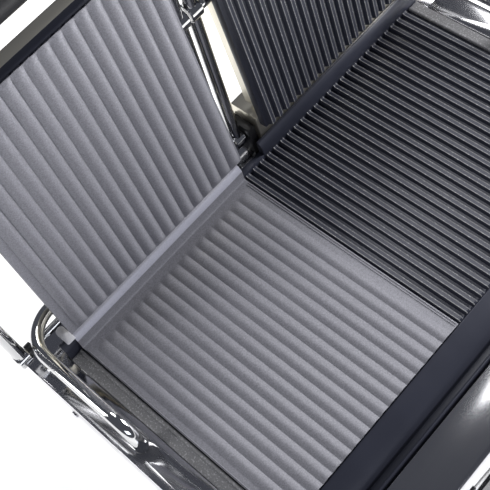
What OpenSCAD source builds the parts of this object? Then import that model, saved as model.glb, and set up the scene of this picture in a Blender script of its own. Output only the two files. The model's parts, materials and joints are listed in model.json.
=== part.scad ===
// Double contact grill (panini press): one ribbed lower plate, two upper platens on tube bails.
// Millimetres. X across the machine (+X to its right), Y to the back, Z up from the table.

/* [Body] */
// Width over the side panels
body_w = 550; // [520:5:600]
// Height of the lower plate's rib crests above the table
plate_z = 132; // [120:1:150]
// Height of the rubber feet
foot_h = 22; // [15:1:30]
// Thickness of the stainless sheet
sheet = 1.2; // [0.8:0.1:2]

/* [Lower plate] */
// Width of the lower casting
plate_w = 490; // [460:5:500]
// Depth of the ribbed field, rear wall to front slope
plate_d = 246; // [220:1:260]
// Spacing of the casting's sharp ribs
rib_pitch = 9.8; // [8:0.1:12]
// Height of the ribs
rib_h = 3; // [2:0.5:4]
// Width of the sharp ribs' flat crests
rib_crest = 4.2; // [2:0.1:5]
// Spacing of the lower liner's broad ribs
liner_pitch = 11.7; // [10:0.1:14]
// Spacing of the upper liner's broad ribs
upper_liner_pitch = 12; // [10:0.1:14]

/* [Platens] */
// Width of an upper platen
platen_w = 212; // [190:1:216]
// Length of an upper platen, rear edge to front edge
platen_l = 245; // [220:1:250]
// Gap between an upper platen and the machine's middle
platen_gap = 20; // [18:1:26]
// Lean of the open platens away from upright
open_lean = 5.6; // [0:0.1:15]

/* [Bails] */
// Outside diameter of the bail tubes
bail_d = 12; // [10:0.5:12]
// Hinge axis to platen pivot
bail_reach = 179; // [170:1:190]
// Hinge axis to the grip
grip_reach = 319; // [300:1:340]
// Outside diameter of the grips
grip_d = 28; // [22:1:32]

/* [Hidden] */
$fn = 48;

clear = 0.05;
half_w = body_w / 2;
half_plate = plate_w / 2;
body_back = 42;
body_front = -330;
knob_reach = 22.8;
gland_reach = 20;
// The plate's rear edge stands this far behind the middle of the whole object's box.
plate_back_y = (knob_reach - body_front - body_back - gland_reach) / 2;
body_bottom = foot_h - plate_z;
deck_z = -3;
seam_y = -14;

wall_h = 19;
wall_t = 7;
arm_slot = 15;
slope_1_y = -plate_d - 16;
slope_2_y = slope_1_y - 9;
lip_y = slope_2_y - 9;
bezel_y = lip_y - 6;
plate_t = 9;
plate_bottom = -rib_h - plate_t;
border = 14;

liner_t = 1.2;
liner_rib_h = 2.6;
// The lower liner is pressed less deeply than the upper one.
lower_liner_rib_h = 1.6;
liner_x0 = -231;
liner_x1 = -15;
// Flat margin between a liner's outer edge and its first rib.
liner_margin = 7;
// The liner's lifting tab reaches this far back over the rear wall.
tab_y = 20;

hinge_y = 25.5;
hinge_z = 18;
shaft_r = 4;
hub_r = 9;
arm_outer_x = 273;
arm_inner_x = 7.5;
// Half the length of the bosses welded to the arms.
boss = bail_d / 2 + 0.5;
bail_bend = 26;

cover_x0 = 23;
cover_x1 = 226;
cover_y0 = 7.4;
cover_y1 = 40;
cover_top = 46;

rail_d = 12;
rail_x = 260;
rail_y = 32;
rail_z = 33;
rail_bend = 33;
rail_drop_bend = 25;
rail_post_y = -107;

casing_inset = 9;
casing_h = 24;
pivot_back = 150;
pivot_up = 24;
platen_mid_x = platen_gap + platen_w / 2;

knob_x = 190;
bulb_x = 215;
knob_z = -52;
switch_x = 120;
control_z = -52;
lamp_x = 150;
tray_w = 200;
tray_d = 96;
tray_h = 26;
tray_top = -72;
tray_front_y = body_front + 2;

// ---------- placing ----------
module at_plate() translate([0, plate_back_y, plate_z]) children();

// A platen is drawn as it lies closed: face down on z = 0, rear edge at y = 0, front edge at -y.
module at_platen() at_plate()
    translate([0, hinge_y, hinge_z + bail_reach])
        rotate([-90 - open_lean, 0, 0])
            translate([0, pivot_back, -pivot_up])
                children();

// ---------- shared shapes ----------
module block(x0, x1, y0, y1, z0, z1) translate([x0, y0, z0]) cube([x1 - x0, y1 - y0, z1 - z0]);
module rod_x(x0, x1, y, z, r) translate([x0, y, z]) rotate([0, 90, 0]) cylinder(h = x1 - x0, r = r);
module rod_y(y0, y1, x, z, r) translate([x, y0, z]) rotate([-90, 0, 0]) cylinder(h = y1 - y0, r = r);
module rod_z(z0, z1, x, y, r) translate([x, y, z0]) cylinder(h = z1 - z0, r = r);

// Quarter bend of a rod: centre line from +x to +y round the origin, in the plane z = 0.
module bend(r_bend, r, turn = 90) rotate_extrude(angle = turn) translate([r_bend, 0]) circle(r = r);

// Front edge profile of sharp-topped ribs, drawn along x, standing on z = 0.
module sharp_ribs(x0, count, pitch, h, crest)
    for (i = [0:count - 1])
        translate([x0 + (i + 0.5) * pitch, 0])
            polygon([[-pitch / 2 + 0.9, -0.2], [-crest / 2, h], [crest / 2, h], [pitch / 2 - 0.9, -0.2]]);

// Corrugated sheet outline: a cosine wave of the given height, as thick as the liner.
function wave(x, pitch, h) = h * (0.5 - 0.5 * cos(360 * x / pitch));
module corrugated(x0, count, pitch, h, t) {
    steps = 8 * count;
    step = pitch / 8;
    upper = [for (i = [0:steps]) [x0 + i * step, t + wave(i * step, pitch, h)]];
    lower = [for (i = [steps:-1:0]) [x0 + i * step, wave(i * step, pitch, h)]];
    polygon(concat(upper, lower));
}

// Helical torsion spring along x, swept as a polyhedron.
module spring_x(x0, x1, y, z, r, wire_r, turns) {
    rings = turns * 12;
    sides = 8;
    function centre(i) = [x0 + (x1 - x0) * i / rings, y + r * cos(30 * i), z + r * sin(30 * i)];
    function ring(i) = [for (k = [0:sides - 1])
        let (a = 360 * k / sides, out = wire_r * cos(a))
            centre(i) + [wire_r * sin(a), out * cos(30 * i), out * sin(30 * i)]];
    points = [for (i = [0:rings]) each ring(i)];
    walls = [for (i = [0:rings - 1], k = [0:sides - 1])
        let (a = i * sides + k, b = i * sides + (k + 1) % sides)
            [a, b, b + sides, a + sides]];
    first = [for (k = [sides - 1:-1:0]) k];
    last = [for (k = [0:sides - 1]) rings * sides + k];
    polyhedron(points = points, faces = concat(walls, [first, last]), convexity = 10);
}

// Tubular heating element: three long runs joined by half turns, both ends at the back.
module element(x_mid, y0, y1, z, r, pitch) {
    for (i = [0:3]) rod_y(y0, y1, x_mid + (i - 1.5) * pitch, z, r);
    for (i = [0, 2]) translate([x_mid + (i - 1) * pitch, y0, z]) rotate([0, 0, 180]) bend(pitch / 2, r, 180);
    translate([x_mid, y1, z]) bend(pitch / 2, r, 180);
}

// ---------- body ----------
module bottom_pan() color("silver") at_plate() difference() {
    union() {
        block(-half_w + 2, half_w - 2, body_front + 2, body_back - 2, body_bottom, body_bottom + sheet);
        for (s = [-1, 1])
            block(s > 0 ? half_w - 2 - sheet : -half_w + 2, s > 0 ? half_w - 2 : -half_w + 2 + sheet,
                body_front + 2, body_back - 2, body_bottom, body_bottom + 14);
    }
    for (i = [-6:6]) block(i * 30 - 9, i * 30 + 9, -140, -136, body_bottom - 1, body_bottom + 3);
    for (i = [-6:6]) block(i * 30 - 9, i * 30 + 9, -120, -116, body_bottom - 1, body_bottom + 3);
}

module side_panel() {
    block(-half_w, -half_w + sheet, body_front, body_back, body_bottom, deck_z);
    block(-half_w + sheet, -half_plate - 0.6, body_front, seam_y, deck_z - sheet, deck_z);
    block(-half_w + sheet, -half_w + 14, body_front, body_front + sheet, body_bottom, deck_z - sheet);
}
module side_panel_left() color("silver") at_plate() difference() {
    side_panel();
    rod_z(deck_z - 5, deck_z + 5, -rail_x, rail_post_y, rail_d / 2 + 0.2);
}
module side_panel_right() color("silver") at_plate() mirror([1, 0, 0]) difference() {
    side_panel();
    rod_z(deck_z - 5, deck_z + 5, -rail_x, rail_post_y, rail_d / 2 + 0.2);
}

module rear_deck() color("silver") at_plate() difference() {
    block(-half_w + sheet, half_w - sheet, seam_y, body_back, deck_z - sheet, deck_z);
    block(-half_plate - 0.6, half_plate + 0.6, seam_y - 1, wall_t + 0.2, deck_z - 5, deck_z + 5);
}

module front_panel() color("gainsboro") at_plate() difference() {
    union() {
        block(-half_w + 14, half_w - 14, body_front, body_front + sheet, body_bottom, deck_z - 5);
        block(-half_plate + 1, half_plate - 1, body_front + 5, bezel_y, deck_z - sheet, deck_z);
        block(-half_plate + 1, half_plate - 1, bezel_y - sheet, bezel_y, deck_z - 22, deck_z - sheet);
        translate([-half_plate + 1, body_front + 5, deck_z - 5]) rotate([90, 0, 90])
            linear_extrude(2 * half_plate - 2) difference() {
                intersection() { circle(r = 5); translate([-5, 0]) square(5); }
                circle(r = 5 - sheet);
            }
    }
    block(-tray_w / 2 - 2, tray_w / 2 + 2, body_front - 1, body_front + 3, tray_top - tray_h - 2, tray_top + 3);
    for (s = [-1, 1]) {
        rod_y(body_front - 1, body_front + 3, s * knob_x, knob_z, 5);
        rod_y(body_front - 1, body_front + 3, s * lamp_x, control_z, 5.2);
        block(s * switch_x - 10.2, s * switch_x + 10.2, body_front - 1, body_front + 3,
            control_z - 13.2, control_z + 13.2);
    }
}

module rear_panel() color("silver") at_plate() difference() {
    block(-half_w + sheet, half_w - sheet, body_back - sheet, body_back, body_bottom + 15, deck_z - sheet);
    for (s = [-1, 1], i = [0:9])
        block(s * 150 + i * 10 - 48, s * 150 + i * 10 - 44, body_back - 3, body_back + 1, -80, -35);
    rod_y(body_back - 3, body_back + 1, 0, -70, 10);
}

module feet() color("black") at_plate() for (sx = [-1, 1], y = [-300, 12])
    translate([sx * 240, y, -plate_z]) cylinder(h = foot_h, r1 = 17, r2 = 20);

module panel_screws() color("lightgray") at_plate() for (s = [-1, 1]) {
    for (y = [-290, -150, 10])
        rod_x(s > 0 ? half_w : -half_w - 1.8, s > 0 ? half_w + 1.8 : -half_w, y, -95, 4);
    for (x = [120, 250]) rod_y(body_back, body_back + 1.8, s * x, -88, 4);
}

module pilot_lamps() color("orangered") at_plate() for (s = [-1, 1]) {
    rod_y(body_front - 4, body_front, s * lamp_x, control_z, 7);
    rod_y(body_front, body_front + 22, s * lamp_x, control_z, 5);
}

module switch_frames() color("black") at_plate() for (s = [-1, 1]) translate([s * switch_x, 0, 0]) {
    rod_x(-8.5, 8.5, body_front + 8, control_z, 1.5);
    difference() {
        union() {
            block(-12, 12, body_front - 2, body_front, control_z - 15, control_z + 15);
            block(-10, 10, body_front, body_front + 20, control_z - 13, control_z + 13);
        }
        block(-8, 8, body_front - 3, body_front + 18, control_z - 11, control_z + 11);
    }
}
module rocker(s) color("firebrick") at_plate() translate([s * switch_x, body_front + 8, control_z])
    rotate([0, 90, 0]) difference() {
        translate([0, 0, -7.6]) linear_extrude(15.2) intersection() {
            circle(r = 10.6);
            polygon([[-11, -10.4], [0, -6.8], [11, -8.2], [11, 8], [-11, 8]]);
        }
        translate([0, 0, -9]) cylinder(h = 18, r = 1.5 + clear);
    }
module rocker_left() rocker(-1);
module rocker_right() rocker(1);

module thermostat(s) color("dimgray") at_plate() {
    block(s * knob_x - 16, s * knob_x + 16, body_front + sheet, body_front + 30, knob_z - 18, knob_z + 18);
    rod_y(body_front - 12, body_front + sheet, s * knob_x, knob_z, 3);
    rod_y(-200, -60, s * bulb_x, plate_bottom - 3.2, 2);
}
module thermostat_left() thermostat(-1);
module thermostat_right() thermostat(1);

module knob(s) color("black") at_plate() translate([s * knob_x, body_front - 0.8, knob_z])
    rotate([90, 0, 0]) difference() {
        union() {
            cylinder(h = 4, r = 22);
            translate([0, 0, 4]) cylinder(h = 16, r1 = 19, r2 = 16);
            translate([-2, 0, 4]) cube([4, 17, 18]);
        }
        translate([0, 0, -1]) cylinder(h = 13, r = 3 + clear);
    }
module knob_left() knob(-1);
module knob_right() knob(1);

module terminal_block() color("ivory") at_plate() difference() {
    block(-40, 40, 5, 25, body_bottom + sheet, body_bottom + 22);
    for (i = [-2:2]) rod_z(body_bottom + 10, body_bottom + 30, i * 15, 15, 3.5);
}

module cord_gland() color("black") at_plate() difference() {
    union() {
        rod_y(body_back, body_back + 6, 0, -70, 15);
        rod_y(body_back + 6, body_back + 20, 0, -70, 11);
        rod_y(body_back - 12, body_back, 0, -70, 9.8);
    }
    rod_y(body_back - 13, body_back + 21, 0, -70, 5);
}

module tray_runners() color("silver") at_plate() for (s = [-1, 1]) {
    x = s * (tray_w / 2 + 1.8);
    block(x - 0.8, x + 0.8, body_front + sheet, tray_front_y + tray_d + 4, tray_top - tray_h - 1.9, tray_top - 2);
    block(s > 0 ? x - 10 : x + 0.8, s > 0 ? x - 0.8 : x + 10, body_front + sheet, tray_front_y + tray_d + 4,
        tray_top - tray_h - 1.9, tray_top - tray_h - 0.3);
}
module drip_tray() color("silver") at_plate() difference() {
    block(-tray_w / 2, tray_w / 2, tray_front_y, tray_front_y + tray_d, tray_top - tray_h, tray_top);
    block(-tray_w / 2 + 1.5, tray_w / 2 - 1.5, tray_front_y + 1.5, tray_front_y + tray_d - 1.5,
        tray_top - tray_h + 1.5, tray_top + 1);
}
module drip_tray_handle() color("black") at_plate() {
    block(-tray_w / 2 - 6, tray_w / 2 + 6, body_front - 2.2, body_front - 0.4, tray_top - tray_h - 5, tray_top + 6);
    for (s = [-1, 1]) block(s * 40 - 3, s * 40 + 3, body_front - 18, body_front - 2.2, -91, -81);
    rod_x(-48, 48, body_front - 16, -86, 5);
    for (s = [-1, 1]) block(s * 40 - 4, s * 40 + 4, body_front - 0.4, tray_front_y, -91, -81);
}

// ---------- lower plate ----------
// Front of the casting, seen from its side: two slopes, the grease gutter and its lip.
gutter_z = -20;
module apron_profile() polygon([
    [-plate_d + 5, plate_bottom], [-plate_d + 5, -rib_h], [-plate_d, -rib_h], [-plate_d, -0.5],
    [slope_1_y, -8], [slope_2_y, -14], [slope_2_y, gutter_z], [lip_y, gutter_z],
    [lip_y, -5], [lip_y - 3, -5], [lip_y - 3, gutter_z - 4], [slope_1_y, gutter_z - 4]
]);
module lower_plate() color("dimgray") at_plate() {
    rib_count = floor((2 * half_plate - 2 * border) / rib_pitch);
    field = rib_count * rib_pitch;
    floor_z = -rib_h;
    difference() {
        union() {
            block(-half_plate, half_plate, -plate_d + 4, wall_t, plate_bottom, floor_z);
            translate([0, -2, floor_z]) rotate([90, 0, 0])
                linear_extrude(plate_d - 2) sharp_ribs(-field / 2, rib_count, rib_pitch, rib_h, rib_crest);
            block(-half_plate, half_plate, 0, wall_t, floor_z, wall_h);
            for (s = [-1, 1])
                block(s > 0 ? field / 2 + 2 : -half_plate, s > 0 ? half_plate : -field / 2 - 2,
                    -plate_d, 0, floor_z, 0);
            rotate([90, 0, 90]) translate([0, 0, -half_plate]) linear_extrude(plate_w) apron_profile();
        }
        rod_z(gutter_z - 10, gutter_z + 10, 0, (slope_2_y + lip_y) / 2, 3.5);
        block(-arm_slot, arm_slot, -1, wall_t + 1, 4, wall_h + 1);
    }
}

module lower_liner() color("slategray") at_plate() {
    count = floor((liner_x1 - liner_x0 - 2 * liner_margin) / liner_pitch);
    field = count * liner_pitch;
    x0 = liner_x0 + liner_margin;
    translate([0, -14, 0]) rotate([90, 0, 0])
        linear_extrude(plate_d - 14) corrugated(x0, count, liner_pitch, lower_liner_rib_h, liner_t);
    block(liner_x0, x0, -plate_d, -0.8, 0, liner_t);
    block(x0 + field, liner_x1, -plate_d, -0.8, 0, liner_t);
    block(x0, x0 + field, -14, -0.8, 0, liner_t);
    block(liner_x0, liner_x1, -0.8 - liner_t, -0.8, liner_t, wall_h + liner_t);
    block(liner_x0 - 8, liner_x1, -0.8, wall_t - 1, wall_h, wall_h + liner_t);
    translate([0, 0, wall_h]) linear_extrude(liner_t) hull() {
        translate([liner_x0 - 8, wall_t - 2]) square([9, 1]);
        translate([liner_x0 - 4, tab_y - 4]) circle(r = 4);
        translate([liner_x0 - 1, tab_y - 2]) circle(r = 2);
    }
}

module lower_element(s) color("saddlebrown") at_plate()
    element(s * half_plate / 2, -210, -50, plate_bottom - 4.3, 4, 48);
module lower_element_left() lower_element(-1);
module lower_element_right() lower_element(1);

module heat_shield() color("silver") at_plate()
    block(-half_plate + 8, half_plate - 8, -245, -10, plate_bottom - 9.8, plate_bottom - 9);
module lower_insulation() color("khaki") at_plate()
    block(-half_plate + 10, half_plate - 10, -242, -12, plate_bottom - 24, plate_bottom - 9.8);

// ---------- hinge housings and rails ----------
module hinge_cover() difference() {
    block(-cover_x1, -cover_x0, cover_y0, cover_y1, deck_z, cover_top);
    block(-cover_x1 + sheet, -cover_x0 - sheet, cover_y0 + sheet, cover_y1 - sheet, deck_z - 1, cover_top - sheet);
    rod_x(-cover_x1 - 1, -cover_x0 + 1, hinge_y, hinge_z, shaft_r + 0.6);
    rod_x(-cover_x1 - 1, -cover_x1 + 3, rail_y, rail_z, rail_d / 2 + 0.1);
}
module hinge_cover_left() color("tan") at_plate() hinge_cover();
module hinge_cover_right() color("tan") at_plate() mirror([1, 0, 0]) hinge_cover();

module bearing_blocks() difference() {
    union() {
        block(-cover_x0 + 0.3, -arm_inner_x - boss - 0.4, 12, 39, deck_z, 33);
        block(-cover_x1 + 4, -cover_x1 + 16, cover_y0 + 2, cover_y1 - sheet, deck_z, 43);
    }
    rod_x(-cover_x1, -10, hinge_y, hinge_z, shaft_r + clear);
    rod_x(-cover_x1, -cover_x1 + 20, rail_y, rail_z, rail_d / 2);
}
module bearing_blocks_left() color("black") at_plate() bearing_blocks();
module bearing_blocks_right() color("black") at_plate() mirror([1, 0, 0]) bearing_blocks();

module balance_spring() spring_x(-200, -70, hinge_y, hinge_z, 9, 1.4, 14);
module balance_spring_left() color("gray") at_plate() balance_spring();
module balance_spring_right() color("gray") at_plate() mirror([1, 0, 0]) balance_spring();

module rail_path(r) {
    rod_x(-rail_x + rail_bend, -cover_x1 + 16, rail_y, rail_z, r);
    translate([-rail_x + rail_bend, rail_y - rail_bend, rail_z]) rotate([0, 0, 90]) bend(rail_bend, r);
    rod_y(rail_post_y + rail_drop_bend, rail_y - rail_bend, -rail_x, rail_z, r);
    translate([-rail_x, rail_post_y + rail_drop_bend, rail_z - rail_drop_bend])
        rotate([0, -90, 180]) bend(rail_drop_bend, r);
    rod_z(deck_z - 9, rail_z - rail_drop_bend, -rail_x, rail_post_y, r);
}
module guard_rail_left() color("dimgray") at_plate() rail_path(rail_d / 2);
module guard_rail_right() color("dimgray") at_plate() mirror([1, 0, 0]) rail_path(rail_d / 2);

// ---------- bails ----------
module hinge_shaft() rod_x(-arm_outer_x - boss, -0.8, hinge_y, hinge_z, shaft_r);
module hinge_shaft_left() color("silver") at_plate() hinge_shaft();
module hinge_shaft_right() color("silver") at_plate() mirror([1, 0, 0]) hinge_shaft();

module bail_tube(s) difference() {
    r = bail_d / 2;
    top = hinge_z + grip_reach;
    turn = s > 0 ? 0 : 90;
    union() {
        for (x = [s * arm_outer_x, s * arm_inner_x]) {
            rod_z(hinge_z, top - bail_bend, x, hinge_y, r);
            rod_x(x - boss, x + boss, hinge_y, hinge_z, hub_r);
            rod_x(x - boss, x + boss, hinge_y, hinge_z + bail_reach, hub_r);
        }
        translate([s * (arm_outer_x - bail_bend), hinge_y, top - bail_bend])
            rotate([90, 0, 0]) rotate([0, 0, turn]) bend(bail_bend, r);
        translate([s * (arm_inner_x + bail_bend), hinge_y, top - bail_bend])
            rotate([90, 0, 0]) rotate([0, 0, 90 - turn]) bend(bail_bend, r);
        rod_x(s > 0 ? arm_inner_x + bail_bend : -arm_outer_x + bail_bend,
            s > 0 ? arm_outer_x - bail_bend : -arm_inner_x - bail_bend, hinge_y, top, r);
    }
    for (x = [s * arm_outer_x, s * arm_inner_x]) {
        rod_x(x - boss - 1, x + boss + 1, hinge_y, hinge_z, shaft_r);
        rod_x(x - boss - 1, x + boss + 1, hinge_y, hinge_z + bail_reach, shaft_r + clear);
    }
}
module bail_tube_left() color("silver") at_plate() bail_tube(-1);
module bail_tube_right() color("silver") at_plate() bail_tube(1);

module grip() difference() {
    grip_half = 72;
    union() {
        rod_x(-platen_mid_x - grip_half, -platen_mid_x + grip_half, hinge_y, hinge_z + grip_reach, grip_d / 2);
        for (s = [-1, 1])
            rod_x(-platen_mid_x + s * (grip_half + 4) - 4, -platen_mid_x + s * (grip_half + 4) + 4,
                hinge_y, hinge_z + grip_reach, grip_d / 2 - 4);
    }
    rod_x(-platen_mid_x - grip_half - 20, -platen_mid_x + grip_half + 20,
        hinge_y, hinge_z + grip_reach, bail_d / 2);
}
module grip_left() color("black") at_plate() grip();
module grip_right() color("black") at_plate() mirror([1, 0, 0]) grip();

module shaft_collars() difference() {
    rod_x(-arm_outer_x + boss + 0.2, -arm_outer_x + boss + 7, hinge_y, hinge_z, 6.5);
    rod_x(-arm_outer_x, -arm_outer_x + 20, hinge_y, hinge_z, shaft_r);
}
module shaft_collars_left() color("black") at_plate() shaft_collars();
module shaft_collars_right() color("black") at_plate() mirror([1, 0, 0]) shaft_collars();

// ---------- platens ----------
platen_x0 = -platen_gap - platen_w;
platen_x1 = -platen_gap;
module upper_plate() {
    count = floor((platen_w - 6) / rib_pitch);
    field = count * rib_pitch;
    block(platen_x0, platen_x1, -platen_l, 0, rib_h, rib_h + plate_t);
    translate([0, -1, rib_h]) mirror([0, 0, 1]) rotate([90, 0, 0])
        linear_extrude(platen_l - 2) sharp_ribs(-platen_mid_x - field / 2, count, rib_pitch, rib_h, rib_crest);
}
module upper_plate_left() color("dimgray") at_platen() upper_plate();
module upper_plate_right() color("dimgray") at_platen() mirror([1, 0, 0]) upper_plate();

module upper_liner_left() color("slategray") at_platen() {
    count = floor((platen_w - liner_margin) / upper_liner_pitch);
    field = count * upper_liner_pitch;
    x0 = platen_x0 + liner_margin;
    translate([0, -3, 0]) mirror([0, 0, 1]) rotate([90, 0, 0])
        linear_extrude(platen_l - 6) corrugated(x0, count, upper_liner_pitch, liner_rib_h, liner_t);
    block(platen_x0 - 1, x0, -platen_l, 0, -liner_t, 0);
    block(x0 + field, platen_x1 + 1, -platen_l, 0, -liner_t, 0);
    block(x0, x0 + field, -3, 0, -liner_t, 0);
    block(x0, x0 + field, -platen_l, -platen_l + 3, -liner_t, 0);
}

casing_z0 = rib_h + plate_t;
module platen_casing() difference() {
    x0 = platen_x0 + casing_inset;
    x1 = platen_x1 - casing_inset;
    block(x0, x1, -platen_l + casing_inset, -casing_inset, casing_z0, casing_z0 + casing_h);
    block(x0 + sheet, x1 - sheet, -platen_l + casing_inset + sheet, -casing_inset - sheet,
        casing_z0 - 1, casing_z0 + casing_h - sheet);
    rod_x(x0 - 1, x1 + 1, -pivot_back, pivot_up, shaft_r);
}
module platen_casing_left() color("tan") at_platen() platen_casing();
module platen_casing_right() color("tan") at_platen() mirror([1, 0, 0]) platen_casing();

module upper_element() element(-platen_mid_x, -205, -40, casing_z0 + 3, 3, 40);
module upper_element_left() color("saddlebrown") at_platen() upper_element();
module upper_element_right() color("saddlebrown") at_platen() mirror([1, 0, 0]) upper_element();

module upper_insulation() for (y = [[-pivot_back + 8, -16], [-platen_l + 16, -pivot_back - 8]])
    block(platen_x0 + 24, platen_x1 - 24, y[0], y[1], casing_z0 + 7, casing_z0 + 20);
module upper_insulation_left() color("khaki") at_platen() upper_insulation();
module upper_insulation_right() color("khaki") at_platen() mirror([1, 0, 0]) upper_insulation();

module pivot_pins() {
    x0 = platen_x0 + casing_inset;
    x1 = platen_x1 - casing_inset;
    rod_x(-arm_outer_x - boss, x0 + 12, -pivot_back, pivot_up, shaft_r);
    rod_x(x1 - 12, -arm_inner_x + boss - 1, -pivot_back, pivot_up, shaft_r);
    rod_x(-arm_outer_x + boss + 0.4, x0 - 0.3, -pivot_back, pivot_up, 6.5);
    rod_x(x1 + 0.3, -arm_inner_x - boss - 0.4, -pivot_back, pivot_up, 6.5);
}
module pivot_pins_left() color("silver") at_platen() pivot_pins();
module pivot_pins_right() color("silver") at_platen() mirror([1, 0, 0]) pivot_pins();

module casing_screws() for (x = [platen_x0 + 30, platen_x1 - 30], y = [-30, -platen_l + 30])
    rod_z(casing_z0 + casing_h, casing_z0 + casing_h + 2, x, y, 4);
module casing_screws_left() color("lightgray") at_platen() casing_screws();
module casing_screws_right() color("lightgray") at_platen() mirror([1, 0, 0]) casing_screws();

bottom_pan();
side_panel_left();
side_panel_right();
rear_deck();
front_panel();
rear_panel();
feet();
lower_plate();
lower_liner();
lower_element_left();
lower_element_right();
heat_shield();
lower_insulation();
thermostat_left();
thermostat_right();
terminal_block();
cord_gland();
pilot_lamps();
switch_frames();
panel_screws();
hinge_cover_left();
hinge_cover_right();
bearing_blocks_left();
bearing_blocks_right();
balance_spring_left();
balance_spring_right();
guard_rail_left();
guard_rail_right();
hinge_shaft_left();
hinge_shaft_right();
bail_tube_left();
bail_tube_right();
grip_left();
grip_right();
shaft_collars_left();
shaft_collars_right();
upper_plate_left();
upper_plate_right();
upper_liner_left();
platen_casing_left();
platen_casing_right();
upper_element_left();
upper_element_right();
upper_insulation_left();
upper_insulation_right();
pivot_pins_left();
pivot_pins_right();
casing_screws_left();
casing_screws_right();
knob_left();
knob_right();
rocker_left();
rocker_right();
tray_runners();
drip_tray();
drip_tray_handle();
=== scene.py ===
"""Double contact grill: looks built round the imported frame."""

import json
import math

import bmesh
import bpy
from mathutils import Matrix, Vector


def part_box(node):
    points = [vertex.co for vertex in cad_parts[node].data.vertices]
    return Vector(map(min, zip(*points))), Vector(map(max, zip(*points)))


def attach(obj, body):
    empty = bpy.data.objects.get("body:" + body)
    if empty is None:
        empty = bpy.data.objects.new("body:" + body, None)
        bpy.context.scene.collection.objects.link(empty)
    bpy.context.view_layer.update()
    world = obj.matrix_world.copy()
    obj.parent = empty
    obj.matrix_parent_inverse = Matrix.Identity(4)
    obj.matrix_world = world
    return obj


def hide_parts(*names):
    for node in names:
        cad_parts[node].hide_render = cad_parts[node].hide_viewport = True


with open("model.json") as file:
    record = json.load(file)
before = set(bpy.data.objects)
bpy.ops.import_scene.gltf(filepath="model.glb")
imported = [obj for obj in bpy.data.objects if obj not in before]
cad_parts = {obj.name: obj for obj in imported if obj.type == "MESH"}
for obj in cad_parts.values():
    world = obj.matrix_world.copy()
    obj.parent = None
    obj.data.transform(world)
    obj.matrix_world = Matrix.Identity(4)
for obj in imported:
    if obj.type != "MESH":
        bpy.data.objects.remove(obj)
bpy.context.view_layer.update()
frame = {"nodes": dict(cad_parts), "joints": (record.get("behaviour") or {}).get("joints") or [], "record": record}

MM = 0.001

# ---------------------------------------------------------------- driving sizes, from the frame
PLATE_HIGH = Vector(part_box("lower_plate")[1])
WALL_T = 7 * MM
WALL_H = 19 * MM
# Home is the middle of the line where the ribbed field meets the rear wall, at rib-crest height.
HOME = Vector((0, PLATE_HIGH.y - WALL_T, PLATE_HIGH.z - WALL_H))
HALF_PLATE = PLATE_HIGH.x
FIELD_D = 246 * MM
RIB_PITCH = 9.8 * MM
RIB_H = 3 * MM
LINER_PITCH = 11.7 * MM
UPPER_LINER_PITCH = 12 * MM
LINER_RIB = 2.6 * MM
LOWER_LINER_RIB = 1.1 * MM
LINER_LEFT = -231 * MM
LINER_RIGHT = -15 * MM
LINER_MARGIN = 7 * MM
PLATEN_L = 245 * MM
PLATEN_W = 212 * MM
PLATEN_MID = 126 * MM
PLATE_T = 9 * MM
OPEN_LEAN = math.radians(5.6)
BAIL_BEND = 26 * MM
TUBE_R = 6 * MM
BOSS_HALF = 6.5 * MM
BOSS_R = 9 * MM
ARM_OUTER = 273 * MM
ARM_INNER = 7.5 * MM
RAIL_R = 6 * MM
RAIL_X = 260 * MM
RAIL_END = 211 * MM
RAIL_BACK = 32 * MM
RAIL_UP = 33 * MM
RAIL_POST = 107 * MM
RAIL_SINK = 12 * MM
RAIL_BENDS = (33 * MM, 25 * MM)
LOWER_RIBS = 47
UPPER_RIBS = 21
LINER_RIBS = 17
# Columns and rows of the flat sheet that a liner is pressed from.
LINER_GRID = (324, 110)
SCREW_HEAD = (
    (3.9, 0), (4, 0.3), (3.7, 1.1), (2.9, 1.7), (1.9, 1.8), (1.2, 1.78), (0.9, 0.9), (0.2, 0.8),
)
KNOB_SKIRT = (
    (3.1, 0), (21, 0), (22, 0.8), (22, 2.8), (20.6, 4), (18.2, 5), (16.4, 19), (15.2, 20.6), (3, 21.2),
)
SMOOTH_BELOW = math.radians(35)
BEVEL_ABOVE = math.radians(40)

JOINTS = {joint["name"]: joint for joint in frame["joints"]}
HINGE = Vector(JOINTS["bail_left_lift"]["pos_m"])
PIVOT = Vector(JOINTS["platen_left_tilt"]["pos_m"])
AT_HOME = Matrix.Translation(HOME)
# Takes a platen drawn closed (face down at z = 0, rear edge at y = 0) to where it stands open.
AT_PLATEN = (
    Matrix.Translation(PIVOT)
    @ Matrix.Rotation(-math.pi / 2 - OPEN_LEAN, 4, "X")
    @ Matrix.Translation(Vector((0, 150, -24)) * MM)
)


# ---------------------------------------------------------------- node trees
class Wire:
    """A node's output that takes part in sums; each sign adds a Math node."""

    def __init__(self, maker, socket):
        self.maker = maker
        self.socket = socket

    def _math(self, operation, first, second=None):
        values = [first] if second is None else [first, second]
        return self.maker.node(self.maker.math, {"operation": operation}, dict(enumerate(values)))

    def __add__(self, other):
        return self._math("ADD", self, other)

    def __sub__(self, other):
        return self._math("SUBTRACT", self, other)

    def __rsub__(self, other):
        return self._math("SUBTRACT", other, self)

    def __mul__(self, other):
        return self._math("MULTIPLY", self, other)

    def __truediv__(self, other):
        return self._math("DIVIDE", self, other)

    def __pow__(self, other):
        return self._math("POWER", self, other)

    __radd__ = __add__
    __rmul__ = __mul__

    def cosine(self):
        return self._math("COSINE", self)

    def size(self):
        return self._math("ABSOLUTE", self)

    def smallest(self, other):
        return self._math("MINIMUM", self, other)

    def largest(self, other):
        return self._math("MAXIMUM", self, other)


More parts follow.
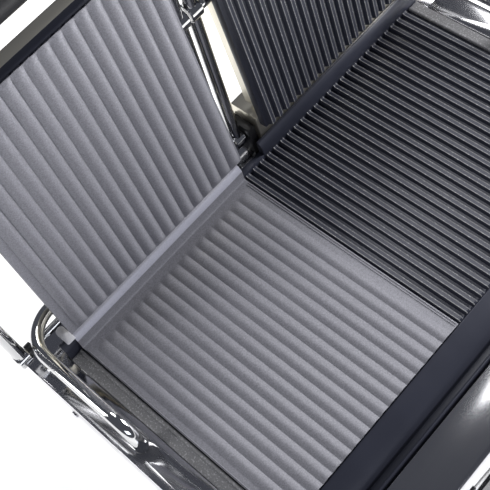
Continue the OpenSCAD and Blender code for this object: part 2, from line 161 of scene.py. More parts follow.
class Maker:
    """Adds nodes to one tree: the type, its settings, then its sockets' values or wires."""

    math = "ShaderNodeMath"

    def __init__(self, tree):
        self.tree = tree

    def node(self, kind, settings=None, sockets=None, out=0):
        node = self.tree.nodes.new(kind)
        for key, value in (settings or {}).items():
            if key == "stops":
                ramp = node.color_ramp
                for index, (place, colour) in enumerate(value):
                    stop = ramp.elements[index] if index < 2 else ramp.elements.new(place)
                    stop.position = place
                    stop.color = (*colour, 1)
            else:
                setattr(node, key, value)
        for key, value in (sockets or {}).items():
            if isinstance(value, Wire):
                self.tree.links.new(value.socket, node.inputs[key])
            else:
                node.inputs[key].default_value = value
        return Wire(self, node.outputs[out])


class Finish(Maker):
    """A material on the Principled shader, patterned by Object coordinates."""

    def __init__(self, name):
        self.material = bpy.data.materials.new(name)
        self.material.use_nodes = True
        super().__init__(self.material.node_tree)
        self.shader = self.tree.nodes["Principled BSDF"]
        self.place = self.node("ShaderNodeTexCoord", out="Object")

    def noise(self, scale, stretch=(1, 1, 1), detail=4, roughness=0.55):
        spread = self.node(
            "ShaderNodeMapping", None,
            {"Vector": self.place, "Scale": [scale * part for part in stretch]},
        )
        return self.node(
            "ShaderNodeTexNoise", None,
            {"Vector": spread, "Scale": 1, "Detail": detail, "Roughness": roughness},
        )

    def ramp(self, wire, *stops):
        return self.node("ShaderNodeValToRGB", {"stops": stops}, {"Fac": wire})

    def blend(self, wire, low, high):
        mixed = self.node("ShaderNodeMix", {"data_type": "RGBA"}, {"Factor": wire}, out=2)
        node = mixed.socket.node
        for index, colour in ((6, low), (7, high)):
            if isinstance(colour, Wire):
                self.tree.links.new(colour.socket, node.inputs[index])
            else:
                node.inputs[index].default_value = (*colour, 1)
        return mixed

    def bump(self, wire, strength, distance):
        return self.node(
            "ShaderNodeBump", None, {"Height": wire, "Strength": strength, "Distance": distance}
        )

    def done(self, **sockets):
        for key, value in sockets.items():
            socket = self.shader.inputs[key.replace("_", " ")]
            if isinstance(value, Wire):
                self.tree.links.new(value.socket, socket)
            else:
                socket.default_value = value
        return self.material


# ---------------------------------------------------------------- finishes
def seasoned_iron():
    f = Finish("seasoned_iron")
    grain = f.noise(900, detail=3)
    patches = f.noise(28, (1, 0.4, 1))
    # Painted highlight: fine bright specks painted into the colour, standing in for glints on the cast surface.
    painted_glints = f.ramp(f.noise(640, detail=2, roughness=0.7), (0.56, (0, 0, 0)), (0.68, (1, 1, 1)))
    base = f.blend(patches, (0.160, 0.159, 0.166), (0.230, 0.229, 0.236))
    return f.done(
        Base_Color=f.blend(painted_glints, base, (0.46, 0.46, 0.465)),
        Roughness=0.36 + grain * 0.16 + patches * 0.12,
        Metallic=0.35,
        Normal=f.bump(grain, 0.35, 0.0006),
    )


def smooth_casting():
    f = Finish("smooth_casting")
    grain = f.noise(1400, detail=3)
    cloud = f.noise(22, (1, 0.4, 1))
    return f.done(
        Base_Color=f.blend(cloud, (0.022, 0.024, 0.037), (0.035, 0.038, 0.057)),
        Roughness=0.30 + grain * 0.12 + cloud * 0.08,
        Metallic=0.2,
        Normal=f.bump(grain, 0.12, 0.0003),
    )


def non_stick_coat(name, low, high, bright):
    f = Finish(name)
    fibres = f.noise(1100, (0.7, 0.9, 1), detail=3, roughness=0.7)
    cloud = f.noise(16, (1, 0.5, 1), detail=3)
    streaks = f.noise(260, (1, 0.05, 1), detail=3)
    base = f.blend(cloud, low, high)
    return f.done(
        Base_Color=f.blend(f.ramp(fibres, (0.30, (0, 0, 0)), (0.85, (1, 1, 1))), base, bright),
        Roughness=0.36 + fibres * 0.16 + streaks * 0.08,
        Metallic=0.35,
        Normal=f.bump(fibres + streaks * 0.5, 0.16, 0.0004),
    )


def steel(name, low, high, rough, brush, stretch):
    f = Finish(name)
    lines = f.noise(brush, stretch, detail=4, roughness=0.6)
    cloud = f.noise(9, detail=3)
    return f.done(
        Base_Color=f.blend(cloud, low, high),
        Metallic=1.0,
        Roughness=rough + lines * rough * 0.6 + cloud * 0.02,
        Normal=f.bump(lines, 0.03, 0.0001),
    )


def plastic(name, low, high, rough, scale=700):
    f = Finish(name)
    grain = f.noise(scale, detail=2)
    cloud = f.noise(20)
    return f.done(
        Base_Color=f.blend(cloud, low, high),
        Roughness=rough + grain * 0.12,
        Normal=f.bump(grain, 0.18, 0.0003),
    )


def lamp_lens():
    f = Finish("lamp_lens")
    cloud = f.noise(120)
    return f.done(
        Base_Color=f.blend(cloud, (0.75, 0.16, 0.02), (0.9, 0.28, 0.05)),
        Roughness=0.12 + cloud * 0.05,
        Coat_Weight=0.6,
        Normal=f.bump(cloud, 0.05, 0.0002),
    )


def fibre_mat():
    f = Finish("fibre_mat")
    fibres = f.noise(350, (1, 0.3, 1), detail=6)
    return f.done(
        Base_Color=f.blend(fibres, (0.5, 0.47, 0.38), (0.75, 0.72, 0.63)),
        Roughness=0.9 + fibres * 0.08,
        Normal=f.bump(fibres, 0.6, 0.001),
    )


IRON = seasoned_iron()
BARE = smooth_casting()
COAT = non_stick_coat(
    "non_stick_coat", (0.150, 0.149, 0.172), (0.190, 0.189, 0.213), (0.34, 0.34, 0.375)
)
# A lighter copy of the coat for the liner's top rim: painted highlight where the rim's chamfer faces up and
# forward to the light.
RIM_HIGHLIGHT_COAT = non_stick_coat("rubbed_coat", (0.33, 0.335, 0.40), (0.40, 0.405, 0.48), (0.50, 0.50, 0.57))
SHEET = steel("polished_sheet", (0.50, 0.50, 0.52), (0.56, 0.56, 0.58), 0.10, 900, (0.03, 1, 1))
SATIN = steel("satin_sheet", (0.70, 0.665, 0.56), (0.78, 0.74, 0.63), 0.26, 900, (0.03, 1, 1))
CHROME = steel("bright_chrome", (0.62, 0.62, 0.62), (0.70, 0.70, 0.70), 0.045, 90, (1, 1, 1))
SCREW_STEEL = steel("screw_steel", (0.5, 0.5, 0.51), (0.6, 0.6, 0.61), 0.2, 600, (1, 1, 1))
SPRING = steel("oiled_spring_steel", (0.16, 0.16, 0.17), (0.28, 0.27, 0.26), 0.25, 500, (1, 1, 1))
SHEATH = steel("heat_stained_sheath", (0.16, 0.11, 0.08), (0.30, 0.24, 0.20), 0.35, 300, (1, 1, 1))
# A still lighter copy of the coat for the liner's lifting tab: painted highlight on its up-facing top.
TAB_HIGHLIGHT_COAT = non_stick_coat("bare_edge", (0.66, 0.66, 0.72), (0.74, 0.74, 0.80), (0.84, 0.84, 0.88))
PHENOLIC = plastic("black_phenolic", (0.012, 0.012, 0.013), (0.024, 0.024, 0.026), 0.34)
RUBBER = plastic("foot_rubber", (0.02, 0.02, 0.02), (0.035, 0.034, 0.033), 0.72, 900)
STEATITE = plastic("steatite", (0.70, 0.67, 0.58), (0.82, 0.79, 0.71), 0.35, 500)
MOULDED = plastic("moulded_brown", (0.05, 0.035, 0.03), (0.09, 0.07, 0.06), 0.45)
RED = plastic("rocker_red", (0.42, 0.01, 0.008), (0.52, 0.02, 0.015), 0.22)
LENS = lamp_lens()
FIBRE = fibre_mat()
SLOT_FINISH = {
    "stainless": SHEET, "housing_steel": SATIN, "cast_plate": IRON, "liner": COAT, "chrome": CHROME,
    "black_plastic": PHENOLIC, "rubber": RUBBER, "element_sheath": SHEATH, "insulation": FIBRE,
    "ceramic": STEATITE, "spring_steel": SPRING, "thermostat_body": MOULDED, "lamp": LENS,
    "rocker": RED,
}
SLOT_OF = {part["node"]: part["material_slot"] for part in frame["record"]["subparts"]}
BODY_OF = {
    node: body for body, nodes in frame["record"]["behaviour"]["bodies"].items() for node in nodes
}


# ---------------------------------------------------------------- geometry trees
class Shaper(Maker):
    """A geometry tree with named number inputs, ending in Realize Instances and Set Material."""

    def __init__(self, name, numbers):
        tree = bpy.data.node_groups.new(name, "GeometryNodeTree")
        super().__init__(tree)
        tree.interface.new_socket("Geometry", in_out="INPUT", socket_type="NodeSocketGeometry")
        tree.interface.new_socket("Geometry", in_out="OUTPUT", socket_type="NodeSocketGeometry")
        for label, value in numbers.items():
            kind = "NodeSocketInt" if isinstance(value, int) else "NodeSocketFloat"
            tree.interface.new_socket(label, in_out="INPUT", socket_type=kind).default_value = value
        self.entry = tree.nodes.new("NodeGroupInput")

    def given(self, label):
        return Wire(self, self.entry.outputs[label])

    def finish(self, wire, material):
        whole = self.node("GeometryNodeRealizeInstances", None, {"Geometry": wire})
        dressed = self.node("GeometryNodeSetMaterial", None, {"Geometry": whole, "Material": material})
        leave = self.tree.nodes.new("NodeGroupOutput")
        self.tree.links.new(dressed.socket, leave.inputs[0])


def run_tree(shaper, mesh, name, numbers):
    """The tree's result on a mesh, as a plain mesh."""
    carrier = bpy.data.objects.new(name, mesh)
    bpy.context.scene.collection.objects.link(carrier)
    modifier = carrier.modifiers.new("shape", "NODES")
    modifier.node_group = shaper.tree
    for item in shaper.tree.interface.items_tree:
        if item.in_out == "INPUT" and item.name in numbers:
            modifier[item.identifier] = numbers[item.name]
    carrier.update_tag()
    depsgraph = bpy.context.evaluated_depsgraph_get()
    depsgraph.update()
    result = bpy.data.meshes.new_from_object(carrier.evaluated_get(depsgraph), depsgraph=depsgraph)
    bpy.data.objects.remove(carrier)
    result.name = name
    return result


def row_tree(material):
    """Repeats the given shape along a line."""
    s = Shaper("row_of_" + material.name, {"Count": 2, "Step X": 0.01, "Step Y": 0.0, "Step Z": 0.0})
    step = s.node("ShaderNodeCombineXYZ", None, {axis: s.given("Step " + axis) for axis in "XYZ"})
    line = s.node("GeometryNodeMeshLine", None, {"Count": s.given("Count"), "Offset": step})
    copies = s.node(
        "GeometryNodeInstanceOnPoints", None, {"Points": line, "Instance": s.given("Geometry")}
    )
    s.finish(copies, material)
    return s


def ring_tree(material):
    """Repeats the given shape round the Z axis."""
    s = Shaper("ring_of_" + material.name, {"Count": 12, "Turn": 0.5})
    line = s.node("GeometryNodeMeshLine", None, {"Count": s.given("Count"), "Offset": (0, 0, 0)})
    turn = s.node("GeometryNodeInputIndex") * s.given("Turn")
    angles = s.node("ShaderNodeCombineXYZ", None, {"Z": turn})
    copies = s.node(
        "GeometryNodeInstanceOnPoints", None,
        {"Points": line, "Instance": s.given("Geometry"), "Rotation": angles},
    )
    s.finish(copies, material)
    return s


def tube_tree(material):
    """Bends a round tube along the corners of a line of edges."""
    s = Shaper("tube_of_" + material.name, {"Tube radius": 0.005, "Bend radius": 0.02})
    path = s.node("GeometryNodeMeshToCurve", None, {0: s.given("Geometry")})
    bent = s.node(
        "GeometryNodeFilletCurve", {"mode": "POLY"},
        {"Curve": path, "Count": 14, "Radius": s.given("Bend radius"), "Limit Radius": True},
    )
    ring = s.node(
        "GeometryNodeCurvePrimitiveCircle", None,
        {"Resolution": 28, "Radius": s.given("Tube radius")},
    )
    skin = s.node(
        "GeometryNodeCurveToMesh", None, {"Curve": bent, "Profile Curve": ring, "Fill Caps": True}
    )
    s.finish(skin, material)
    return s


def pressed_tree(material):
    """Presses broad round ribs into a flat grid; they run along Y and die away near both ends."""
    side_steepness = 2000
    crown = 0.52
    end_curve = 0.6
    s = Shaper("pressed_ribs_" + material.name, {
        "Pitch": 0.01, "Odd": 0.0, "Rib height": 0.002, "Half width": 0.1,
        "Rear": 0.0, "Front": 0.2, "Run out": 0.01,
    })
    place = s.node("GeometryNodeInputPosition")
    split = s.node("ShaderNodeSeparateXYZ", None, {0: place})
    x = Wire(s, split.socket.node.outputs["X"])
    y = Wire(s, split.socket.node.outputs["Y"])
    wave = 0.5 - (x * (2 * math.pi) / s.given("Pitch")).cosine() * (0.5 - s.given("Odd"))
    inside = ((s.given("Half width") - x.size()) * side_steepness).largest(0).smallest(1)
    rear = ((s.given("Rear") - y) / s.given("Run out")).largest(0).smallest(1)
    front = ((y - s.given("Front")) / s.given("Run out")).largest(0).smallest(1)
    ends = (rear ** end_curve, front ** end_curve)
    rise = (wave ** crown) * s.given("Rib height") * inside * ends[0] * ends[1]
    lift = s.node("ShaderNodeCombineXYZ", None, {"Z": rise})
    moved = s.node("GeometryNodeSetPosition", None, {"Geometry": s.given("Geometry"), "Offset": lift})
    s.finish(moved, material)
    return s


# ---------------------------------------------------------------- mesh helpers
def mesh_of(name, build):
    shape = bmesh.new()
    build(shape)
    bmesh.ops.recalc_face_normals(shape, faces=shape.faces)
    mesh = bpy.data.meshes.new(name)
    shape.to_mesh(mesh)
    shape.free()
    return mesh


def prism(name, outline, length, axis="X", start=0.0):
    """An outline drawn in the plane across the axis, drawn out along it."""
    def put(a, b, along):
        if axis == "X":
            return (along, a, b)
        if axis == "Y":
            return (a, along, b)
        return (a, b, along)

    def build(shape):
        ends = [[shape.verts.new(put(a, b, start + far)) for a, b in outline] for far in (0, length)]
        shape.faces.new(ends[0])
        shape.faces.new(list(reversed(ends[1])))
        for i in range(len(outline)):
            j = (i + 1) % len(outline)
            shape.faces.new((ends[0][i], ends[0][j], ends[1][j], ends[1][i]))

    return mesh_of(name, build)


def lathe(name, profile, sides=48):
    """A profile of (radius, height) points turned round Z."""
    def build(shape):
        turns = [2 * math.pi * k / sides for k in range(sides)]
        rings = [
            [shape.verts.new((r * math.cos(turn), r * math.sin(turn), z)) for turn in turns]
            for r, z in profile
        ]
        for low, high in zip(rings, rings[1:]):
            for k in range(sides):
                j = (k + 1) % sides
                shape.faces.new((low[k], low[j], high[j], high[k]))
        shape.faces.new(rings[0])
        shape.faces.new(rings[-1])

    return mesh_of(name, build)


def line_mesh(name, points):
    mesh = bpy.data.meshes.new(name)
    mesh.from_pydata([tuple(p) for p in points], [(i, i + 1) for i in range(len(points) - 1)], [])
    return mesh


def grid_mesh(name, x0, x1, y0, y1, columns, rows):
    points = [
        (x0 + (x1 - x0) * i / columns, y0 + (y1 - y0) * j / rows, 0)
        for j in range(rows + 1) for i in range(columns + 1)
    ]
    wide = columns + 1
    faces = [
        (j * wide + i, j * wide + i + 1, (j + 1) * wide + i + 1, (j + 1) * wide + i)
        for j in range(rows) for i in range(columns)
    ]
    mesh = bpy.data.meshes.new(name)
    mesh.from_pydata(points, [], faces)
    return mesh


def joined(name, meshes):
    shape = bmesh.new()
    for mesh in meshes:
        shape.from_mesh(mesh)
    result = bpy.data.meshes.new(name)
    shape.to_mesh(result)
    shape.free()
    return result


def finished(obj):
    """Applies every modifier of a piece, so that its mesh is what shows."""
    depsgraph = bpy.context.evaluated_depsgraph_get()
    mesh = bpy.data.meshes.new_from_object(obj.evaluated_get(depsgraph), depsgraph=depsgraph)
    obj.modifiers.clear()
    obj.data = mesh


def smooth(mesh):
    mesh.set_sharp_from_angle(angle=SMOOTH_BELOW)
    for face in mesh.polygons:
        face.use_smooth = True


def piece(name, mesh, material, body, replaces=(), matrix=None, bevel=0.0, thick=0.0):
    if matrix is not None:
        mesh.transform(matrix)
    obj = bpy.data.objects.new(name, mesh)
    bpy.context.scene.collection.objects.link(obj)
    if thick:
        wall = obj.modifiers.new("thickness", "SOLIDIFY")
        wall.thickness = abs(thick)
        wall.offset = 1 if thick > 0 else -1
    if bevel:
        edge = obj.modifiers.new("edges", "BEVEL")
        edge.width = bevel
        edge.segments = 2
        edge.limit_method = "ANGLE"
        edge.angle_limit = BEVEL_ABOVE
        edge.use_clamp_overlap = True
    if thick or bevel:
        finished(obj)
    obj.data.materials.clear()
    obj.data.materials.append(material)
    smooth(obj.data)
    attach(obj, body)
    if replaces:
        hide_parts(*replaces)
    return obj


def eased(node, bevel):
    """A CAD node's shape with its edges rounded."""
    shape = bmesh.new()
    shape.from_mesh(frame["nodes"][node].data)
    bmesh.ops.remove_doubles(shape, verts=shape.verts, dist=1e-5)
    bmesh.ops.dissolve_limit(
        shape, angle_limit=math.radians(0.5), verts=shape.verts, edges=shape.edges
    )
    mesh = bpy.data.meshes.new(node + "_eased")
    shape.to_mesh(mesh)
    shape.free()
    slot = SLOT_OF[node]
    return piece(
        node + "_shell", mesh, SLOT_FINISH[slot], BODY_OF[node], (node,), bevel=bevel
    )


# ---------------------------------------------------------------- ribbed castings
CREST = 2.1 * MM
FLANK = [
    (0.9 * MM - RIB_PITCH / 2, -0.2 * MM), (-CREST - 0.3 * MM, RIB_H - 0.45 * MM),
    (-CREST, RIB_H - 0.15 * MM), (CREST, RIB_H - 0.15 * MM),
    (CREST + 0.3 * MM, RIB_H - 0.45 * MM), (RIB_PITCH / 2 - 0.9 * MM, -0.2 * MM),
]
# The crest: a raised bead along each edge, with a rough cast strip sunk between them; the whole crest takes the
# lighter iron finish, which is painted highlight on the rib tops.
STRIP = [
    (-CREST - 0.15 * MM, RIB_H - 0.4 * MM), (-CREST, RIB_H - 0.05 * MM), (-CREST + 0.25 * MM, RIB_H),
    (-CREST + 0.6 * MM, RIB_H - 0.1 * MM), (-0.9 * MM, RIB_H - 0.3 * MM), (0.9 * MM, RIB_H - 0.3 * MM),
    (CREST - 0.6 * MM, RIB_H - 0.1 * MM), (CREST - 0.25 * MM, RIB_H), (CREST, RIB_H - 0.05 * MM),
    (CREST + 0.15 * MM, RIB_H - 0.4 * MM),
]


def rib_mesh(section, length, lift):
    """One rib along Y: its rear end may run up a wall's foot, its front end is blunt."""
    def build(shape):
        rings = []
        tip = 1.4 * MM
        for y, scale in ((0, 1 + lift), (-tip, 1), (tip - length, 1), (-length, 0.45)):
            rings.append([shape.verts.new((x, y, z * scale)) for x, z in section])
        for near, far in zip(rings, rings[1:]):
            for i in range(len(section)):
                j = (i + 1) % len(section)
                shape.faces.new((near[i], near[j], far[j], far[i]))
        shape.faces.new(rings[0])
        shape.faces.new(rings[-1])

    return mesh_of("rib", build)


def rib_row(name, section, tree, count, length, lift):
    numbers = {"Count": count, "Step X": RIB_PITCH}
    mesh = run_tree(tree, rib_mesh(section, length, lift), name, numbers)
    mesh.transform(Matrix.Translation((-(count - 1) / 2 * RIB_PITCH, 0, 0)))
    return mesh


def ribs(name, count, length, lift, matrix, body):
    """A field of ribs on one casting: its flanks in the dark casting finish, and its crests in the lighter iron
    finish, which is painted highlight on the rib tops.
    """
    for part, section, tree, finish in (
        ("flanks", FLANK, ROW_OF_BARE, BARE), ("crests", STRIP, ROW_OF_IRON, IRON),
    ):
        mesh = rib_row(part, section, tree, count, length, lift)
        piece(f"{name}_{part}", mesh, finish, body, (), matrix)


ROW_OF_IRON = row_tree(IRON)
ROW_OF_BARE = row_tree(BARE)
ROW_OF_STEEL = row_tree(SCREW_STEEL)
RING_OF_PHENOLIC = ring_tree(PHENOLIC)
TUBE_OF_CHROME = tube_tree(CHROME)
PRESSED = pressed_tree(COAT)


def side_border(s, field_half):
    """The flat border beside the ribs, with its raised inner bead."""
    inner = field_half + 1.5 * MM
    outer = HALF_PLATE
    outline = [
        (inner, -RIB_H - 0.5 * MM), (inner, -0.9 * MM),
        (inner + 1.2 * MM, 0.1 * MM), (inner + 3.2 * MM, 0.1 * MM),
        (inner + 4 * MM, -0.9 * MM), (outer - 2 * MM, -0.9 * MM),
        (outer, -2.4 * MM), (outer, -RIB_H - 0.5 * MM),
    ]
    outline = [(s * x, z) for x, z in outline]
    return prism("border", outline, FIELD_D - 0.5 * MM, "Y", -FIELD_D)


def lower_casting():
    field_half = LOWER_RIBS * RIB_PITCH / 2
    wide = 2 * HALF_PLATE
    low = -RIB_H - PLATE_T
    front = -FIELD_D + 4 * MM
    base = prism(
        "base", [(front, low), (front, -RIB_H), (WALL_T, -RIB_H), (WALL_T, low)],
        wide, "X", -HALF_PLATE,
    )
    apron = prism(
        "apron",
        [(y * MM, z * MM) for y, z in (
            (-241, -12), (-241, -3), (-244.5, -3), (-246.5, -1), (-262, -8), (-271, -14), (-271.5, -20),
            (-280, -20), (-280, -6), (-280.8, -5), (-282.4, -5), (-283, -6), (-283, -24), (-262, -24),
        )],
        wide, "X", -HALF_PLATE,
    )
    wall_outline = [
        (0, -RIB_H - 1 * MM), (0, 13.5 * MM), (4 * MM, WALL_H), (WALL_T, WALL_H),
        (WALL_T, -RIB_H - 1 * MM),
    ]
    slot = 15 * MM
    walls = [
        prism("wall", wall_outline, HALF_PLATE - slot, "X", start) for start in (-HALF_PLATE, slot)
    ]
    sill_h = 4 * MM
    sill = prism(
        "sill", [(0, -RIB_H), (0, sill_h), (WALL_T, sill_h), (WALL_T, -RIB_H)],
        2 * slot, "X", -slot,
    )
    borders = joined("borders", [side_border(s, field_half) for s in (-1, 1)])
    body = joined("casting_body", [base, apron, sill, *walls])
    piece("lower_casting", body, BARE, "machine", ("lower_plate",), AT_HOME,
          bevel=0.6 * MM)
    piece("lower_borders", borders, IRON, "machine", (), AT_HOME, bevel=0.4 * MM)
    place = AT_HOME @ Matrix.Translation((0, -0.4 * MM, -RIB_H))
    ribs("lower_rib", LOWER_RIBS, FIELD_D - 1 * MM, 0.55, place, "machine")


def lower_liner():
    width = LINER_RIGHT - LINER_LEFT
    half = LINER_RIBS * LINER_PITCH / 2
    mid = LINER_LEFT + LINER_MARGIN + half
    numbers = {
        "Pitch": LINER_PITCH, "Odd": 1.0, "Rib height": LOWER_LINER_RIB, "Half width": half,
        "Rear": -12 * MM, "Front": -FIELD_D - 6 * MM, "Run out": 4.5 * MM,
    }
    grid = grid_mesh(
        "liner_grid", LINER_LEFT - mid, LINER_RIGHT - mid, -FIELD_D, -2 * MM, *LINER_GRID
    )
    field = run_tree(PRESSED, grid, "liner_field", numbers)
    field.transform(Matrix.Translation((mid, 0, 0.2 * MM)))
    piece("liner_field", field, COAT, "machine", ("lower_liner",), AT_HOME,
          thick=0.9 * MM)
    foot = [
        (-4.2, 0.5), (-2.6, 0.9), (-1.7, 2.0), (-1.4, 3.6), (-1.4, 14.0), (-0.4, 14.0), (-0.4, 3.2),
        (-1.0, 0.9), (-2.0, 0.1), (-4.2, 0.1),
    ]
    rim = [
        (-1.4, 14.0), (-1.2, 14.8), (1.6, 19.3), (2.6, 20.0), (6.2, 20.1), (6.2, 19.2), (2.8, 19.2),
        (-0.3, 14.4), (-0.4, 14.0),
    ]
    upstand = prism("upstand", [(y * MM, z * MM) for y, z in foot], width, "X", LINER_LEFT)
    piece("liner_upstand", upstand, COAT, "machine", (), AT_HOME)
    top = prism("rim", [(y * MM, z * MM) for y, z in rim], width, "X", LINER_LEFT)
    # The rim is drawn in the lighter coat, which is painted highlight.
    piece("liner_rim", top, RIM_HIGHLIGHT_COAT, "machine", (), AT_HOME)

    def corner(cx, cy, r, a0, a1, n=6):
        turns = [math.radians(a0 + (a1 - a0) * i / n) for i in range(n + 1)]
        return [(cx + r * math.cos(turn), cy + r * math.sin(turn)) for turn in turns]

    outer = LINER_LEFT - 8 * MM
    inner = LINER_LEFT + 1 * MM
    tab = (
        [(inner, -0.4 * MM), (inner, 15 * MM)] + corner(inner - 4 * MM, 16 * MM, 4 * MM, 0, 90)
        + corner(outer + 5 * MM, 15 * MM, 5 * MM, 90, 180)
        + corner(outer + 1.5 * MM, 1.1 * MM, 1.5 * MM, 180, 270)
    )
    mesh = prism("tab", tab, 1 * MM, "Z", WALL_H + 0.15 * MM)
    # The tab is drawn in the lightest copy of the coat, which is painted highlight.
    piece("liner_lifting_tab", mesh, TAB_HIGHLIGHT_COAT, "machine", (), AT_HOME, bevel=0.25 * MM)
    beads = []
    foot_half = 0.7 * MM
    top_half = 0.3 * MM
    low = 0.6 * MM
    high = 1.7 * MM
    for x in (LINER_LEFT + 1.2 * MM, LINER_RIGHT - 1.2 * MM, LINER_RIGHT - 3.4 * MM):
        outline = [
            (x - foot_half, low), (x - top_half, high), (x + top_half, high), (x + foot_half, low),
        ]
        beads.append(prism("bead", outline, FIELD_D - 8 * MM, "Y", -FIELD_D + 1 * MM))
    piece("liner_side_beads", joined("beads", beads), COAT, "machine", (), AT_HOME,
          bevel=0.2 * MM)


def upper_platen(side, s):
    body = "platen_" + side
    x0 = s * PLATEN_MID - PLATEN_W / 2
    turn = Matrix.Translation((s * PLATEN_MID, 0, 0))
    edge = 1.5 * MM
    slab_outline = [
        (0, RIB_H + edge), (-edge, RIB_H), (-PLATEN_L + edge, RIB_H), (-PLATEN_L, RIB_H + edge),
        (-PLATEN_L, RIB_H + PLATE_T), (0, RIB_H + PLATE_T),
    ]
    slab = prism("slab", slab_outline, PLATEN_W, "X", x0)
    place = (
        AT_PLATEN @ turn @ Matrix.Translation((0, -1.2 * MM, RIB_H))
        @ Matrix.Rotation(math.pi, 4, "Y")
    )
    ribs(f"upper_rib_{side}", UPPER_RIBS, PLATEN_L - 2.4 * MM, 0, place, body)
    piece(f"upper_casting_{side}", slab, BARE, body, (f"upper_plate_{side}",),
          AT_PLATEN, bevel=0.8 * MM)


def upper_liner():
    half = LINER_RIBS * UPPER_LINER_PITCH / 2
    low = -PLATEN_MID - PLATEN_W / 2
    mid = low + LINER_MARGIN + half
    overhang = 0.8 * MM
    numbers = {
        "Pitch": UPPER_LINER_PITCH, "Odd": 1.0, "Rib height": LINER_RIB, "Half width": half,
        "Rear": -0.5 * MM, "Front": -PLATEN_L + 0.5 * MM, "Run out": 5 * MM,
    }
    ends = (low - overhang - mid, low + PLATEN_W + overhang - mid)
    # The grid is turned over, so its ends change places.
    grid = grid_mesh("upper_liner_grid", -ends[1], -ends[0], -PLATEN_L, 0, *LINER_GRID)
    field = run_tree(PRESSED, grid, "upper_liner_field", numbers)
    field.transform(
        AT_PLATEN @ Matrix.Translation((mid, 0, -0.2 * MM)) @ Matrix.Rotation(math.pi, 4, "Y")
    )
    piece("upper_liner_field", field, COAT, "platen_left", ("upper_liner_left",),
          thick=0.9 * MM)


# ---------------------------------------------------------------- tubes
def bail(side, s):
    outer = ARM_OUTER * s
    inner = ARM_INNER * s
    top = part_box("grip_" + side)[1][2] - 14 * MM
    points = [
        (outer, HINGE.y, HINGE.z), (outer, HINGE.y, top),
        (inner, HINGE.y, top), (inner, HINGE.y, HINGE.z),
    ]
    mesh = run_tree(
        TUBE_OF_CHROME, line_mesh("bail_path", points), "bail_skin",
        {"Tube radius": TUBE_R, "Bend radius": BAIL_BEND},
    )
    hubs = []
    lip = 1 * MM
    bore = 4.1 * MM
    profile = [
        (bore, -BOSS_HALF), (BOSS_R - lip, -BOSS_HALF), (BOSS_R, lip - BOSS_HALF),
        (BOSS_R, BOSS_HALF - lip), (BOSS_R - lip, BOSS_HALF), (bore, BOSS_HALF),
    ]
    for x in (outer, inner):
        for centre in (HINGE, PIVOT):
            hub = lathe("hub", profile, 40)
            hub.transform(
                Matrix.Translation((x, centre.y, centre.z)) @ Matrix.Rotation(math.pi / 2, 4, "Y")
            )
            hubs.append(hub)
    whole = joined("bail_whole", [mesh, *hubs])
    piece(f"bail_{side}_bent_tube", whole, CHROME, "bail_" + side, (f"bail_tube_{side}",))


def guard_rail(side, s):
    x = RAIL_X * s
    end = RAIL_END * s
    y = HOME.y + RAIL_BACK
    z = HOME.z + RAIL_UP
    post = HOME.y - RAIL_POST
    points = [(end, y, z), (x, y, z), (x, post, z), (x, post, HOME.z - RAIL_SINK)]
    first = points[:2] + [(x, (y + post) / 2, z)]
    second = [(x, (y + post) / 2, z)] + points[2:]
    parts = []
    for index, (line, bend) in enumerate(zip((first, second), RAIL_BENDS)):
        numbers = {"Tube radius": RAIL_R, "Bend radius": bend}
        path = line_mesh("rail_path", line)
        parts.append(run_tree(TUBE_OF_CHROME, path, f"rail_{index}", numbers))
    piece(f"guard_rail_{side}_tube", joined("rail", parts), CHROME, "machine",
          (f"guard_rail_{side}",))


# ---------------------------------------------------------------- controls
def knob(side):
    low, high = (Vector(corner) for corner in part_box("knob_" + side))
    centre = (low + high) / 2
    place = (
        Matrix.Translation((centre.x, high.y, centre.z)) @ Matrix.Rotation(math.pi / 2, 4, "X")
    )
    skirt = lathe("skirt", [(r * MM, z * MM) for r, z in KNOB_SKIRT])
    rib = prism(
        "grip_rib",
        [(x * MM, y * MM) for x, y in ((-1.1, 17.4), (1.1, 17.4), (0.7, 18.9), (-0.7, 18.9))],
        14 * MM, "Z", 4.6 * MM,
    )
    grips = run_tree(RING_OF_PHENOLIC, rib, "knob_ribs", {"Count": 18, "Turn": math.pi / 9})
    pointer = prism(
        "pointer", [(x * MM, y * MM) for x, y in ((-1.6, 2), (1.6, 2), (1, 16), (-1, 16))],
        1.4 * MM, "Z", 20.4 * MM,
    )
    body = joined("knob_body", [skirt, grips])
    piece(f"knob_{side}_grip", body, PHENOLIC, "knob_" + side,
          ("knob_" + side,), place)
    piece(f"knob_{side}_pointer", pointer, STEATITE, "knob_" + side, (), place,
          bevel=0.3 * MM)


def dial_marks(side):
    """Plain raised dots on the front panel, round the knob's travel."""
    low, high = (Vector(corner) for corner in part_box("knob_" + side))
    centre = (low + high) / 2
    gap_behind_knob = 0.75 * MM
    ring_r = 25.5 * MM
    place = (
        Matrix.Translation((centre.x, high.y + gap_behind_knob, centre.z))
        @ Matrix.Rotation(math.pi / 2, 4, "X")
    )
    dot = lathe("dot", [(0.9 * MM, 0), (0.9 * MM, 0.3 * MM), (0.5 * MM, 0.45 * MM)], 16)
    dot.transform(Matrix.Rotation(-math.pi * 0.75, 4, "Z") @ Matrix.Translation((0, ring_r, 0)))
    marks = run_tree(RING_OF_PHENOLIC, dot, "dial", {"Count": 10, "Turn": math.pi / 6})
    piece(f"dial_marks_{side}", marks, PHENOLIC, "machine", (), place)


def screw_row(name, first, step, count, matrix):
    """Pan-head screws with a round recess, standing on their local Z."""
    head = lathe("head", [(r * MM, z * MM) for r, z in SCREW_HEAD], 20)
    numbers = {"Count": count, "Step X": step[0], "Step Y": step[1], "Step Z": step[2]}
    row = run_tree(ROW_OF_STEEL, head, name, numbers)
    row.transform(matrix @ Matrix.Translation(first))
    return row


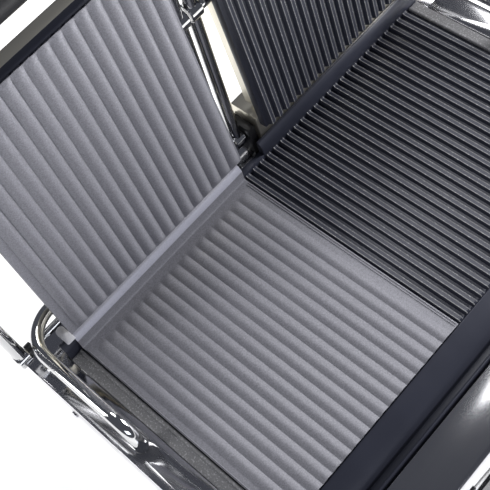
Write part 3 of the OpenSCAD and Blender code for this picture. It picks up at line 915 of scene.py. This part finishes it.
def casing_screws(side, s):
    rows = []
    casing_h = 24 * MM
    half_step = 76 * MM
    top = RIB_H + PLATE_T + casing_h
    for y in (-30 * MM, -215 * MM):
        first = (s * PLATEN_MID - half_step, y, top)
        rows.append(screw_row("casing_heads", first, (2 * half_step, 0, 0), 2, AT_PLATEN))
    piece(f"casing_screw_heads_{side}", joined("heads", rows), SCREW_STEEL, "platen_" + side,
          (f"casing_screws_{side}",))


# ---------------------------------------------------------------- build
lower_casting()
lower_liner()
upper_liner()
for side, s in (("left", -1), ("right", 1)):
    upper_platen(side, s)
    bail(side, s)
    guard_rail(side, s)
    knob(side)
    dial_marks(side)
    casing_screws(side, s)
    eased("hinge_cover_" + side, 0.9 * MM)
    eased("platen_casing_" + side, 1.0 * MM)
    eased("side_panel_" + side, 0.5 * MM)
    eased("bearing_blocks_" + side, 1.2 * MM)
    eased("grip_" + side, 1.2 * MM)
    eased("shaft_collars_" + side, 0.8 * MM)
    eased("hinge_shaft_" + side, 0.5 * MM)
    eased("pivot_pins_" + side, 0.5 * MM)
    eased("rocker_" + side, 0.5 * MM)
for node in ("rear_deck", "front_panel", "rear_panel", "bottom_pan", "drip_tray"):
    eased(node, 0.4 * MM)
for node in ("feet", "switch_frames", "drip_tray_handle", "cord_gland", "pilot_lamps", "panel_screws"):
    eased(node, 0.7 * MM)

for node, obj in frame["nodes"].items():
    obj.data.materials.clear()
    obj.data.materials.append(SLOT_FINISH[SLOT_OF[node]])


# ---------------------------------------------------------------- stage, light and camera
def stage():
    mesh = grid_mesh("floor", -4, 4, -4, 4, 1, 1)
    floor = bpy.data.objects.new("floor", mesh)
    bpy.context.scene.collection.objects.link(floor)
    f = Finish("pale_floor")
    cloud = f.noise(2)
    floor.data.materials.append(f.done(
        Base_Color=f.blend(cloud, (0.93, 0.93, 0.93), (0.95, 0.95, 0.95)),
        Roughness=0.8,
        Emission_Color=f.blend(cloud, (0.98, 0.98, 0.98), (1.0, 1.0, 1.0)),
        Emission_Strength=0.7,
    ))


def softbox(name, place, target, size, power, colour=(1, 1, 1)):
    data = bpy.data.lights.new(name, "AREA")
    data.shape = "RECTANGLE"
    data.size, data.size_y = size
    data.energy = power
    data.color = colour
    light = bpy.data.objects.new(name, data)
    light.location = place
    light.rotation_euler = (Vector(target) - Vector(place)).to_track_quat("-Z", "Y").to_euler()
    bpy.context.scene.collection.objects.link(light)


def lights():
    world = bpy.data.worlds.new("studio")
    world.use_nodes = True
    world.node_tree.nodes["Background"].inputs["Color"].default_value = (0.80, 0.84, 1.0, 1)
    world.node_tree.nodes["Background"].inputs["Strength"].default_value = 0.11
    bpy.context.scene.world = world
    middle = (0, 0, 0.15)
    softbox("key", (1.6, -0.60, 0.85), middle, (0.6, 0.6), 50)
    softbox("overhead", (0.85, 0.45, 1.9), middle, (0.9, 0.7), 14)
    softbox("left_strip", (-1.7, 0.9, 1.1), middle, (0.25, 1.6), 10)
    softbox("front_fill", (-0.9, -2.0, 1.0), middle, (1.6, 0.6), 9, (0.90, 0.93, 1.0))


def camera():
    data = bpy.data.cameras.new("camera")
    data.lens = 74.56
    data.sensor_width = 36
    data.clip_start = 0.01
    obj = bpy.data.objects.new("camera", data)
    right = Vector((0.66323, -0.72322, -0.19257))
    up = Vector((0.70605, 0.51928, 0.48149))
    back = right.cross(up)
    turn = Matrix((right, up, back)).transposed().to_4x4()
    # The camera stands in front of the left half, looking down on the rear left of the plate.
    place = HOME + Vector((-294.6, -466.8, 784.8)) * MM
    obj.matrix_world = Matrix.Translation(place) @ turn
    bpy.context.scene.collection.objects.link(obj)
    bpy.context.scene.camera = obj


stage()
lights()
camera()
bpy.context.scene.view_settings.view_transform = "Standard"
